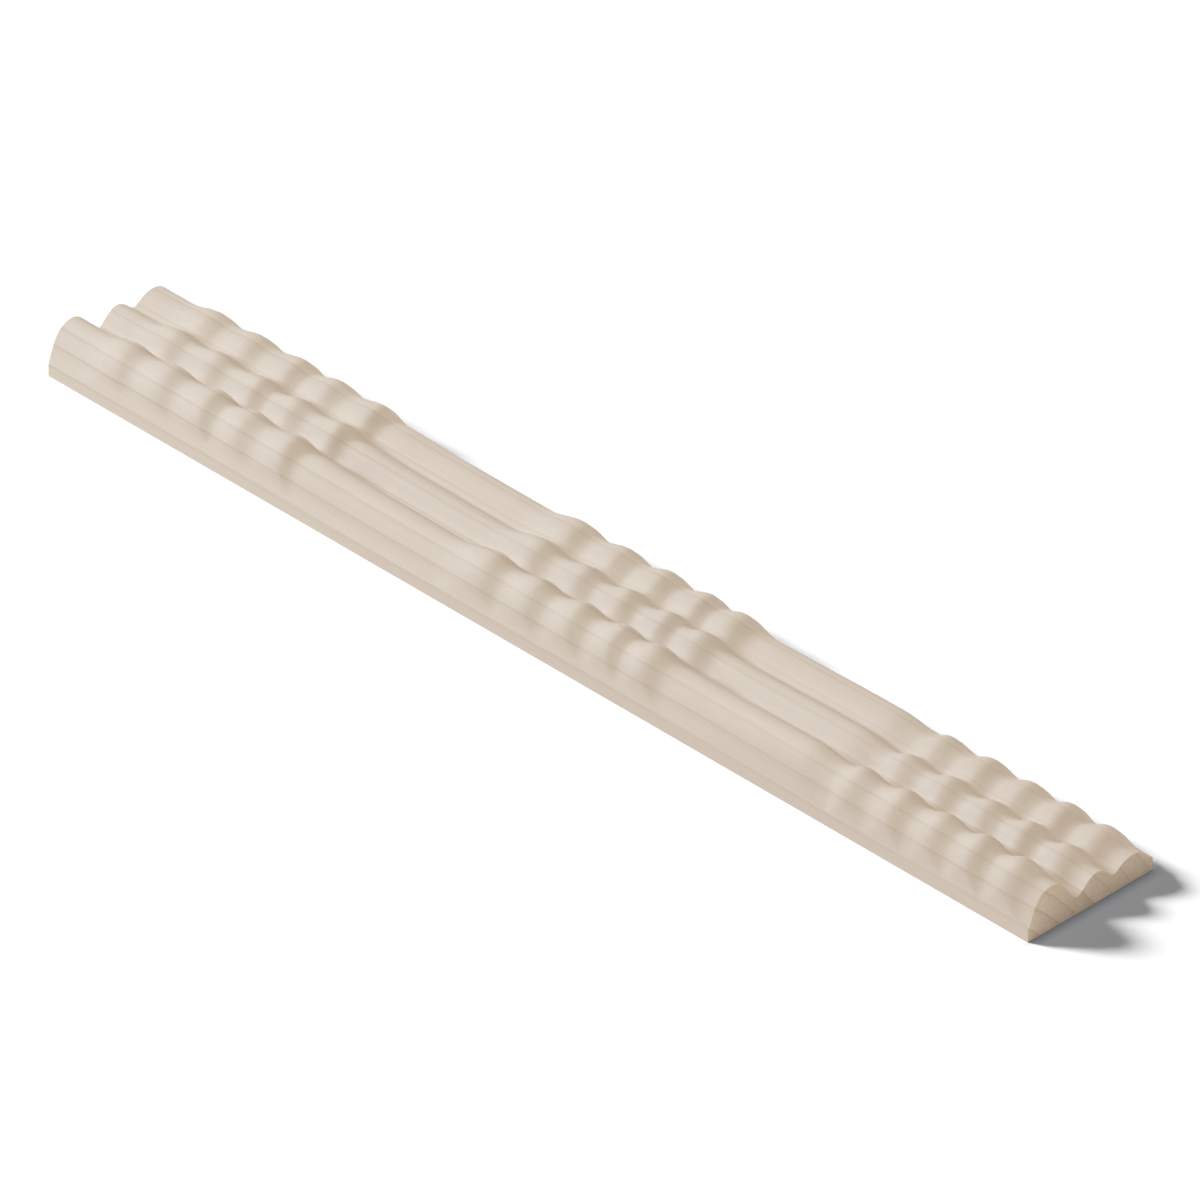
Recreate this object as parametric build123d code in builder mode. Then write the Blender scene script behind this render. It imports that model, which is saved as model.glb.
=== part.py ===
from build123d import *
import os
from math import cos, hypot, pi

# A ripple moulding: one stick of solid wood, flat behind, with three rounded ridges along its
# face. A cutter of the ridges' section has risen and sunk as it went along, so bunches of
# ripples run straight across all three ridges, with a plain stretch after each bunch.
# Millimetres. The origin is in the middle of the flat back. x runs along the length, y from
# the front edge to the back edge, and z up from the flat back.

# The stock
length = 609.6
width = 77.8
edge_height = 6.5

# The section at rest: each ridge and groove, as its distance from the front edge and height
front_ridge_place = 14.4
front_ridge_height = 24.6
front_groove_place = 30.9
front_groove_height = 10.5
middle_ridge_place = 42.2
middle_ridge_height = 17.6
back_groove_place = 53.4
back_groove_height = 11.2
back_ridge_place = 63.1
back_ridge_height = 15.6

# Where each flank is half way down, as a share of its run from the ridge
front_flank_middle = 0.785
inner_flank_middle = 0.58
back_flank_middle = 0.72
# The two outer flanks have a full shoulder: the share of the run, and of the height above the edge
shoulder_run = 0.45
shoulder_height = 0.88

# The ripple dies out over this much of the section, just inside the two straight edges
edge_fade = 4.0
# The crests lean towards the front edge, so the flanks on that side carry more of the ripple
lean = 0.24

# Even places for the crests of each bunch, from the left end of the stock
first_crest_place = 39.5
bunch_pitch = 227.0
crest_pitch = 25.2

# The cutter is guided by hand, so each bunch has its own rises above the section at rest, and its
# crests stray a little from their even places. The cutter falls faster than it climbs: hollow_place
# is each hollow's share of the way to the next crest. The cutter starts to climb one lead-in before
# the first crest, ends its fall one lead-out after the last, and wanders to one high or low
# point, the swell, on the plain stretch that follows.
bunches = [
    {
        "strays": (-1.2, -0.4, 1.4, -1.1, 0.8),
        "crest_rises": (4.6, 5.3, 5.5, 5.4, 5.6),
        "hollow_rises": (1.9, 2.3, 1.7, 2.3),
        "hollow_place": 0.4,
        "lead_in": 21.0,
        "lead_in_rise": -0.3,
        "lead_out": 9.8,
        "lead_out_rise": 0.8,
        "swell": 43.8,
        "swell_rise": -0.6,
    },
    {
        "strays": (-0.2, 2.5, 4.0, 3.9, -0.7),
        "crest_rises": (4.9, 4.5, 5.3, 5.6, 5.5),
        "hollow_rises": (0.7, 0.4, 1.0, 1.8),
        "hollow_place": 0.42,
        "lead_in": 26.5,
        "lead_in_rise": -1.1,
        "lead_out": 14.1,
        "lead_out_rise": 0.0,
        "swell": 96.7,
        "swell_rise": 2.1,
    },
    {
        "strays": (0.2, 1.4, 0.8, -0.5, -2.6),
        "crest_rises": (3.1, 4.4, 4.0, 4.8, 4.4),
        "hollow_rises": (-0.6, -0.2, -0.1, -0.4),
        "hollow_place": 0.47,
        "lead_in": 11.1,
        "lead_in_rise": -1.4,
        "lead_out": 13.7,
        "lead_out_rise": -1.4,
        "swell": 43.8,
        "swell_rise": -0.6,
    },
]

# The rippled face is drawn through points: so many on each climb and fall, or so far apart where
# that is less, and so far apart across the section. It runs past the stock before it is trimmed.
steps_per_side = 4
longest_step = 8.0
step_across = 2.0
overrun = 1.5


def blend(start, end, share):
    """A height on the way from start to end, along half a cosine wave."""
    return start + (end - start) * (1 - cos(pi * min(max(share, 0), 1))) / 2


def between(start, end, run_share, height_share=0.5):
    """The point at shares of the run and of the height on the way from start to end."""
    run = end[0] - start[0]
    height = end[1] - start[1]
    return (start[0] + run * run_share, start[1] + height * height_share)


def beyond(edge, flank):
    """The point past an edge, straight on from the middle of the flank beside it."""
    share = 1 + overrun / abs(edge[0] - flank[0])
    return between(flank, edge, share, share)


def section_points():
    """The ridges, grooves and flanks of the section at rest, as (y from the front edge, height)."""
    front_edge = (0, edge_height)
    front_ridge = (front_ridge_place, front_ridge_height)
    front_groove = (front_groove_place, front_groove_height)
    middle_ridge = (middle_ridge_place, middle_ridge_height)
    back_groove = (back_groove_place, back_groove_height)
    back_ridge = (back_ridge_place, back_ridge_height)
    back_edge = (width, edge_height)
    front_flank = between(front_ridge, front_edge, front_flank_middle)
    back_flank = between(back_ridge, back_edge, back_flank_middle)
    return [
        beyond(front_edge, front_flank),
        front_edge,
        front_flank,
        between(front_ridge, front_edge, shoulder_run, 1 - shoulder_height),
        front_ridge,
        between(front_ridge, front_groove, inner_flank_middle),
        front_groove,
        between(middle_ridge, front_groove, inner_flank_middle),
        middle_ridge,
        between(middle_ridge, back_groove, inner_flank_middle),
        back_groove,
        between(back_ridge, back_groove, inner_flank_middle),
        back_ridge,
        between(back_ridge, back_edge, shoulder_run, 1 - shoulder_height),
        back_flank,
        back_edge,
        beyond(back_edge, back_flank),
    ]


def cutter_path():
    """The cutter's high and low points, as (x from the left end, rise), past both ends."""
    path = [(-overrun, bunches[0]["lead_in_rise"])]
    for number, bunch in enumerate(bunches):
        start = first_crest_place + number * bunch_pitch
        crests = [start + crest_pitch * i + stray for i, stray in enumerate(bunch["strays"])]
        path.append((crests[0] - bunch["lead_in"], bunch["lead_in_rise"]))
        for i, rise in enumerate(bunch["crest_rises"]):
            path.append((crests[i], rise))
            if i < len(bunch["hollow_rises"]):
                hollow = crests[i] + (crests[i + 1] - crests[i]) * bunch["hollow_place"]
                path.append((hollow, bunch["hollow_rises"][i]))
        path.append((crests[-1] + bunch["lead_out"], bunch["lead_out_rise"]))
        path.append((crests[-1] + bunch["swell"], bunch["swell_rise"]))
    path.append((max(path[-1][0], length) + overrun, path[-1][1]))
    return path


def cutter_places():
    """Every place along the length that the face is drawn through, as (x, rise)."""
    places = []
    path = cutter_path()
    for (start, start_rise), (end, end_rise) in zip(path, path[1:]):
        steps = max(steps_per_side, round((end - start) / longest_step))
        for i in range(steps):
            share = i / steps
            places.append((start + (end - start) * share, blend(start_rise, end_rise, share)))
    return places + [path[-1]]


with BuildLine():
    section_at_rest = Spline(*section_points())

# The rippled face: rows of points along the length, one after another across the section
rows = round(section_at_rest.length / step_across)
face_points = []
for row in range(rows + 1):
    at_rest = section_at_rest @ (row / rows)
    along = section_at_rest % (row / rows)
    inside = min(at_rest.X, width - at_rest.X)
    from_edge = hypot(inside, at_rest.Y - edge_height) if inside > 0 else 0
    carried = blend(0, 1, from_edge / edge_fade) * (1 + lean * along.Y / along.X)
    face_points.append(
        [
            (x - length / 2, at_rest.X - width / 2, at_rest.Y + carried * rise)
            for x, rise in cutter_places()
        ]
    )
rippled_face = Face.make_surface_from_array_of_points(face_points, tol=0.05, min_deg=3)

# The stick is the stock with all that lies over the rippled face cut away
with BuildPart() as moulding:
    with BuildSketch():
        Rectangle(length, width)
    extrude(amount=rippled_face.bounding_box().max.Z + overrun)
    split(bisect_by=rippled_face, keep=Keep.TOP)

moulding.part.label = "ripple_moulding"
os.makedirs("parts", exist_ok=True)
export_step(moulding.part, "parts/ripple_moulding.step")
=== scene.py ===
# %% [markdown]
# A ripple moulding in bare wood
# This lesson dresses one stick of carved trim: three rounded ridges that carry bunches of cross
# ripples. The stick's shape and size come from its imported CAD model, which is loaded first and
# stays where it is. What is left for Blender is the wood itself, and a plain studio to see it in.
# Everything is in metres: x runs along the stick, y from its high front ridge to its low back
# one, and z up from the flat back that it lies on.

from math import asin, atan, degrees, hypot, radians

import bmesh
import bpy
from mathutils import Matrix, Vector


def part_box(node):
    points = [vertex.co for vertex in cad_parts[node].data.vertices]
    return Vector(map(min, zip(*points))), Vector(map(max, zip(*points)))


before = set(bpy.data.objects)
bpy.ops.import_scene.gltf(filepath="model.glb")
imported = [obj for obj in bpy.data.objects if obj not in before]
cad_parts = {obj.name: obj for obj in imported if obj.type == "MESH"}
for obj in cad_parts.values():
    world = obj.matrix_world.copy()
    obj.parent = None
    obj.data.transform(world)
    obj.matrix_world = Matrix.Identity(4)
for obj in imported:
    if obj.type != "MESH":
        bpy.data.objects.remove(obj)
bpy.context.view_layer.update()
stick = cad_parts["ripple_moulding"]
low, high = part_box("ripple_moulding")
length, width, thickness = high - low
MM = 0.001
print(f"stick {length / MM:.1f} x {width / MM:.1f} x {thickness / MM:.1f} mm")

# %% [markdown]
# The camera
# The stick is seen from its front right, with its three directions equally foreshortened, as in
# an isometric drawing. An orthographic camera would give that view, but it keeps its width when
# it is moved to another side, and would cut the ends off. So this camera stands far away with a
# very long lens, which looks almost the same and still frames the stick from everywhere.

# %% Camera
view_width = 528.2 * MM
view_distance = 23.3
view_direction = Vector((1, -1, 1)).normalized()
aim = Vector((1.3, 0.6, 11.7)) * MM

camera_data = bpy.data.cameras.new("camera")
camera_data.angle = 2 * atan(view_width / 2 / view_distance)
camera_data.clip_start = 1.0
camera_data.clip_end = 2 * view_distance
camera = bpy.data.objects.new("camera", camera_data)
camera.location = aim + view_direction * view_distance
camera.rotation_mode = "QUATERNION"
camera.rotation_quaternion = (-view_direction).to_track_quat("-Z", "Y")
bpy.context.scene.collection.objects.link(camera)
bpy.context.scene.camera = camera
print(f"lens {camera_data.lens:.0f} mm, {degrees(camera_data.angle):.2f} degrees across")

# %% [markdown]
# Small helpers
# Colours are written as the hex codes of a paint program, which are sRGB. A shader works in
# linear light, so one function turns the codes to linear. Another adds a node to a material,
# with its settings and its links, so that each material below reads as a list of its nodes.

# %% Colour and node helpers


def linear(code):
    """A linear colour from an sRGB hex code such as "#d8c9b6"."""
    channels = [int(code[i : i + 2], 16) / 255 for i in (1, 3, 5)]
    light = [c / 12.92 if c <= 0.04045 else ((c + 0.055) / 1.055) ** 2.4 for c in channels]
    return light + [1.0]


def add_node(tree, kind, settings=None, **inputs):
    """Adds a node, sets its properties, and fills its inputs with values or links."""
    node = tree.nodes.new("ShaderNode" + kind)
    for name, value in (settings or {}).items():
        setattr(node, name, value)
    for name, value in inputs.items():
        key = int(name[1:]) if name[0] == "_" else name.replace("_", " ")
        if isinstance(value, bpy.types.NodeSocket):
            tree.links.new(value, node.inputs[key])
        else:
            node.inputs[key].default_value = value
    return node


def new_material(name):
    """An empty node material and its node tree."""
    material = bpy.data.materials.new(name)
    material.use_nodes = True
    material.node_tree.nodes.clear()
    return material, material.node_tree


# %% [markdown]
# Bare limewood
# The stick is cut from pale limewood, sanded and left bare. Three things make it look like wood
# and not like plaster. Growth rings cross it as thin lines, each darkening slowly and ending
# sharply, as late wood does. Fine fibres run along the grain. The sawn ends are yellower and
# speckled, because there the surface is open pores. A flat picture of wood would slide over the
# carving, but real carving cuts through the rings. So the pattern is made in space, in
# millimetres from the heart of the tree, and the surface shows it wherever it cuts.

# %% Place in the tree
# The rings are arcs on the sawn end, so their centre, the heart, is known: below and in front
heart_y, heart_z = -155.6, -109.6
wood, tree = new_material("bare_limewood")
place = add_node(tree, "TexCoord")
from_heart = add_node(
    tree,
    "Mapping",
    Vector=place.outputs["Object"],
    Location=(0, -heart_y, -heart_z),
    Scale=(1 / MM, 1 / MM, 1 / MM),
).outputs[0]
print(f"heart of the tree {hypot(heart_y, heart_z):.0f} mm from the middle of the back")


def grain_noise(along, across, **inputs):
    """Soft noise whose patches are so many millimetres along the grain and across it."""
    shape = add_node(tree, "Mapping", Vector=from_heart, Scale=(1 / along, 1 / across, 1 / across))
    return add_node(tree, "TexNoise", Vector=shape.outputs[0], Scale=1.0, **inputs).outputs["Fac"]


# Nearly all of a noise lies in this range, and each use below maps it on to a range of its own
noise_range = {"From_Min": 0.3, "From_Max": 0.7}

# %% [markdown]
# Growth rings
# A ring starts pale in spring and hardly darkens until its last millimetre or so, the late wood,
# which is dense and dark. The next ring's pale wood follows at once, so each ring ends in a line
# that is soft on one side and sharp on the other. A Wave texture could draw rings, but all of one
# width and tone. A Color Ramp over the distance from the heart gives each ring its own.

# %% Rings and their tones
# Where each ring ends, in millimetres from the heart. They are 8 to 10 mm wide, a fast-grown tree.
# The tones say how dark each ring starts and ends, on the way from early to late wood's colour
ring_ends = (164.9, 173.9, 182.3, 191.9, 201.1, 211.3, 221.6)
ring_width = 9
early_tones = (0.0, 0.04, 0.11, 0.17, 0.0, 0.16, 0.14)
late_tones = (0.5, 0.66, 0.62, 0.62, 0.48, 0.45, 0.55)
# A ring has its early tone this far past the last ring's end, and its late wood is this wide
fresh_start, late_wood = 0.5, 1.2
# How far the tone has come in the middle of the ring, and where the late wood starts
middle_share, late_share = 0.1, 0.35
innermost, outermost = ring_ends[0] - ring_width, ring_ends[-1] + ring_width
mean_width = (ring_ends[-1] - ring_ends[0]) / (len(ring_ends) - 1)
print(f"{len(ring_ends)} rings, {mean_width:.1f} mm apart")

# %% Distance from the heart
# The heart isn't quite parallel to the stick, and wavers a little
axis_lean, axis_waver = 0.6, 0.5
half_length = length / 2 / MM
along = add_node(tree, "SeparateXYZ", Vector=from_heart).outputs["X"]
axis_part = add_node(tree, "VectorMath", {"operation": "MULTIPLY"}, _0=from_heart, _1=(0, 1, 1))
radius = add_node(
    tree, "VectorMath", {"operation": "LENGTH"}, _0=axis_part.outputs[0]
).outputs["Value"]
wavering = add_node(
    tree,
    "MapRange",
    Value=grain_noise(160, 30, Detail=1.0),
    To_Min=-axis_waver,
    To_Max=axis_waver,
    **noise_range,
).outputs[0]
leaning = add_node(
    tree,
    "MapRange",
    Value=along,
    From_Min=-half_length,
    From_Max=half_length,
    To_Min=axis_lean,
    To_Max=-axis_lean,
).outputs[0]
leaned = add_node(tree, "Math", {"operation": "ADD"}, _0=radius, _1=leaning).outputs[0]
grown = add_node(tree, "Math", {"operation": "ADD"}, _0=leaned, _1=wavering).outputs[0]
print(f"the rings shift by {2 * axis_lean:.1f} mm from end to end")

# %% Ring ramp
ring_share = add_node(tree, "MapRange", Value=grown, From_Min=innermost, From_Max=outermost)
ring_ramp = add_node(tree, "ValToRGB", Fac=ring_share.outputs[0])
stops = []
for start, end, early, late in zip((innermost,) + ring_ends, ring_ends, early_tones, late_tones):
    middle, turn = (start + end) / 2, end - late_wood
    stops += [(start + fresh_start, early), (middle, early + (late - early) * middle_share)]
    stops += [(turn, early + (late - early) * late_share), (end, late)]
stops.append((ring_ends[-1] + fresh_start, early_tones[-1]))
stops_list = ring_ramp.color_ramp.elements
while len(stops_list) < len(stops):
    stops_list.new(1.0)
for element, (distance, tone) in zip(stops_list, stops):
    element.position = (distance - innermost) / (outermost - innermost)
    element.color = (tone, tone, tone, 1)
ring_tone = ring_ramp.outputs["Color"]
print(f"{len(stops)} stops on the ring ramp")

# %% [markdown]
# Fibres, and the tone of the wood
# The fibres of real limewood are far too fine to see here, so the streaks are drawn as wide as
# the eye still finds them at arm's length, half a millimetre. Broad bands, a few millimetres
# across and as long as the stick, make one strip a little warmer than the next. Painted shade
# also makes the wood warmer and darker towards the right end, most of all low on the front,
# nearest the heart, where the light on the front falls off.

# %% Fibres and bands
fibre_length, fibre_width = 60, 0.5
band_length, band_width = 700, 6
fibres = grain_noise(fibre_length, fibre_width, Detail=3.0, Roughness=0.6)
bands = grain_noise(band_length, band_width, Detail=2.0)
print(f"fibres {fibre_width} mm wide, bands {band_width} mm wide")

# %% Tone of the wood
early_color = linear("#ded2c3")
late_color = linear("#c1b09a")
# The warm colour serves both the wood's own broad bands and the painted shade towards the right
# end
warm_color = linear("#d2c3b3")
color_mix = {"data_type": "RGBA"}
end_to_end = add_node(tree, "MapRange", Value=along, From_Min=-half_length, From_Max=half_length)
# Painted shade, where the light on the front falls off: up to the first distance from the heart
# the right end has it in full, past the second half
near_heart = add_node(
    tree, "MapRange", Value=radius, From_Min=174, From_Max=184, To_Min=1.05, To_Max=0.5
)
painted_shade = add_node(
    tree, "Math", {"operation": "MULTIPLY"}, _0=end_to_end.outputs[0], _1=near_heart.outputs[0]
)
banded = add_node(tree, "MapRange", Value=bands, To_Max=0.4, **noise_range)
# The warmth adds the wood's own broad bands to the painted shade towards the right end
warmth = add_node(tree, "Math", {"operation": "ADD"}, _0=banded.outputs[0], _1=painted_shade.outputs[0])
# The ring lines fade and come back along the stick
patches = grain_noise(130, 12)
ring_strength = add_node(tree, "MapRange", Value=patches, To_Min=0.75, To_Max=1.15, **noise_range)
darkness = add_node(
    tree, "Math", {"operation": "MULTIPLY"}, _0=ring_tone, _1=ring_strength.outputs[0]
)
toned = add_node(
    tree, "Mix", color_mix, _0=warmth.outputs[0], _6=early_color, _7=warm_color
).outputs[2]
ringed = add_node(
    tree, "Mix", color_mix, _0=darkness.outputs[0], _6=toned, _7=late_color
).outputs[2]
# The third colour carries the bands and the painted shade towards the right end
print("the wood's tone mixes three colours: early wood, late wood and aged wood")

# %% [markdown]
# The sawn ends
# An end is told from a side by the way it faces, in the object's own space. Where a ripple
# climbs or falls steeply the knife has cut across the fibres a little, so by the same rule those
# slopes get a share of late wood's darker, warmer colour. The pores of a real sawn end are too
# fine to see here, so they are drawn 1.6 mm wide, as coarse as they need to be to show.

# %% Ends
end_color = linear("#d9c6b1")
end_late_color = linear("#b09c80")
facing = add_node(tree, "SeparateXYZ", Vector=place.outputs["Normal"])
along_grain = add_node(tree, "Math", {"operation": "ABSOLUTE"}, _0=facing.outputs["X"]).outputs[0]
# 1 is a face square to the grain, and the ripples' steepest slopes stay well under 0.9
sawn = add_node(tree, "MapRange", Value=along_grain, From_Min=0.9, From_Max=0.97).outputs[0]
slope = add_node(
    tree, "MapRange", Value=along_grain, From_Min=0.1, From_Max=0.8, To_Max=0.22
).outputs[0]
carved = add_node(tree, "Mix", color_mix, _0=slope, _6=ringed, _7=late_color).outputs[2]
end_ringed = add_node(
    tree, "Mix", color_mix, _0=ring_tone, _6=end_color, _7=end_late_color
).outputs[2]
cut_color = add_node(tree, "Mix", color_mix, _0=sawn, _6=carved, _7=end_ringed).outputs[2]
print("two sawn ends, told by their facing")

# %% The finished wood
pore_length, pore_width = 6, 1.6
pores = grain_noise(pore_length, pore_width, Detail=4.0, Roughness=0.65)
fibre_tone = add_node(tree, "MapRange", Value=fibres, To_Min=0.965, To_Max=1.035, **noise_range)
pore_tone = add_node(tree, "MapRange", Value=pores, To_Min=0.91, To_Max=1.09, **noise_range)
speckle = add_node(
    tree, "Mix", _0=sawn, _2=fibre_tone.outputs[0], _3=pore_tone.outputs[0]
).outputs[0]
streaked = add_node(tree, "VectorMath", {"operation": "SCALE"}, _0=cut_color, Scale=speckle)
relief = add_node(tree, "Bump", Height=fibres, Strength=0.25, Distance=0.1 * MM)
# Bare sanded wood is matt, a little unevenly from fibre to fibre
matt = add_node(tree, "MapRange", Value=fibres, To_Min=0.82, To_Max=0.92, **noise_range)
shader = add_node(
    tree,
    "BsdfPrincipled",
    Base_Color=streaked.outputs[0],
    Roughness=matt.outputs[0],
    IOR=1.5,
    Normal=relief.outputs[0],
)
add_node(tree, "OutputMaterial", Surface=shader.outputs[0])
stick.data.materials.clear()
stick.data.materials.append(wood)
print("bare limewood on", stick.name)

# %% [markdown]
# The floor
# A wide sheet of paper. It takes the stick's shadow, and throws a little light back up at the
# stick. It is a cool middle grey, and the warm lamp that is for the floor alone, further down,
# lifts it to a neutral white. Beyond the right end, where the shadow lies, painted contact shade
# makes the paper darker in the last few millimetres before the stick, as in the corner of any
# contact.

# %% Floor
floor_size = 12.0
contact_reach = 7 * MM
paper, tree = new_material("matt_paper")
paper_color = linear("#9fa4ac")[:3]
paper_place = add_node(tree, "TexCoord").outputs["Object"]
paper_x = add_node(tree, "SeparateXYZ", Vector=paper_place).outputs["X"]
past_end = add_node(tree, "Math", {"operation": "GREATER_THAN"}, _0=paper_x, _1=high.x).outputs[0]
# Painted contact shade: ambient occlusion darkens the paper's colour beyond the right end
contact = add_node(tree, "AmbientOcclusion", {"samples": 4}, Distance=contact_reach).outputs["AO"]
shade = add_node(tree, "Mix", _0=past_end, _2=1.0, _3=contact).outputs[0]
shaded = add_node(tree, "VectorMath", {"operation": "SCALE"}, _0=paper_color, Scale=shade)
shader = add_node(tree, "BsdfDiffuse", Color=shaded.outputs[0])
add_node(tree, "OutputMaterial", Surface=shader.outputs[0])

sheet = bmesh.new()
bmesh.ops.create_grid(sheet, x_segments=1, y_segments=1, size=floor_size / 2)
floor_mesh = bpy.data.meshes.new("floor")
sheet.to_mesh(floor_mesh)
sheet.free()
floor = bpy.data.objects.new("floor", floor_mesh)
floor.data.materials.append(paper)
bpy.context.scene.collection.objects.link(floor)
print(f"paper floor {floor_size:.0f} m wide, contact shade {contact_reach / MM:.0f} mm")

# %% [markdown]
# The light
# Two soft lamps in a dim room. The key comes from the left, a little in front and about 29
# degrees up, so it rakes across the ripples. The fill is a much broader one from the right, 65
# degrees up. Between them each ripple gets a bright climb, an open fall and one narrow dark line,
# where it has turned away from the key and doesn't face the fill yet. Both are slightly cool, and
# the little light that comes from all round is warm, as it is in a room with wood in it.
# A third lamp, near the key's place, shines on the floor alone, through light linking. It makes
# the paper white where it falls and leaves the stick's shadow dark, with no more light on the
# stick.

# %% Lamps
to_key = Vector((-0.786, -0.383, 0.485))
to_fill = Vector((0.423, 0.0, 0.906))
to_floor_lamp = Vector((-0.8125, -0.353, 0.464))


def add_sun(name, direction, energy, color, spread_angle):
    """A soft sun that shines from a direction."""
    lamp = bpy.data.lights.new(name, "SUN")
    lamp.energy = energy
    lamp.color = linear(color)[:3]
    lamp.angle = radians(spread_angle)
    sun = bpy.data.objects.new(name, lamp)
    sun.rotation_mode = "QUATERNION"
    sun.rotation_quaternion = direction.to_track_quat("Z", "Y")
    bpy.context.scene.collection.objects.link(sun)
    print(f"{name} {degrees(asin(direction.z)):.0f} degrees up")
    return sun


add_sun("key", to_key, energy=2.62, color="#d3e7ff", spread_angle=12)
add_sun("fill", to_fill, energy=1.72, color="#e7f2ff", spread_angle=60)
floor_lamp = add_sun("floor_lamp", to_floor_lamp, energy=14.6, color="#fff3e1", spread_angle=16)
floor_only = bpy.data.collections.new("floor_only")
floor_only.objects.link(floor)
floor_lamp.light_linking.receiver_collection = floor_only

# %% [markdown]
# The room
# What the camera sees past the paper is plain white, and mirrored or bent rays see the same, so
# that a shiny part would show it. To all other rays the room is a dim, warm light from all round.
# One world can be both, because Light Path tells its shader which kind of ray asks.

# %% Room
room_strength = 0.315
world = bpy.data.worlds.new("room")
world.use_nodes = True
bpy.context.scene.world = world
tree = world.node_tree
tree.nodes.clear()
light_path = add_node(tree, "LightPath").outputs
from_camera, mirrored = light_path["Is Camera Ray"], light_path["Is Glossy Ray"]
bent = light_path["Is Transmission Ray"]
seen = add_node(tree, "Math", {"operation": "MAXIMUM"}, _0=from_camera, _1=mirrored).outputs[0]
seen = add_node(tree, "Math", {"operation": "MAXIMUM"}, _0=seen, _1=bent).outputs[0]
room = add_node(tree, "Background", Color=linear("#ffda9c"), Strength=room_strength)
backdrop = add_node(tree, "Background", Color=linear("#ffffff"), Strength=1.0)
room_mix = add_node(
    tree, "MixShader", _0=seen, _1=room.outputs[0], _2=backdrop.outputs[0]
)
add_node(tree, "OutputWorld", Surface=room_mix.outputs[0])
print(f"room white to the eye, and {room_strength} as a light")

bpy.context.scene.view_settings.view_transform = "Standard"
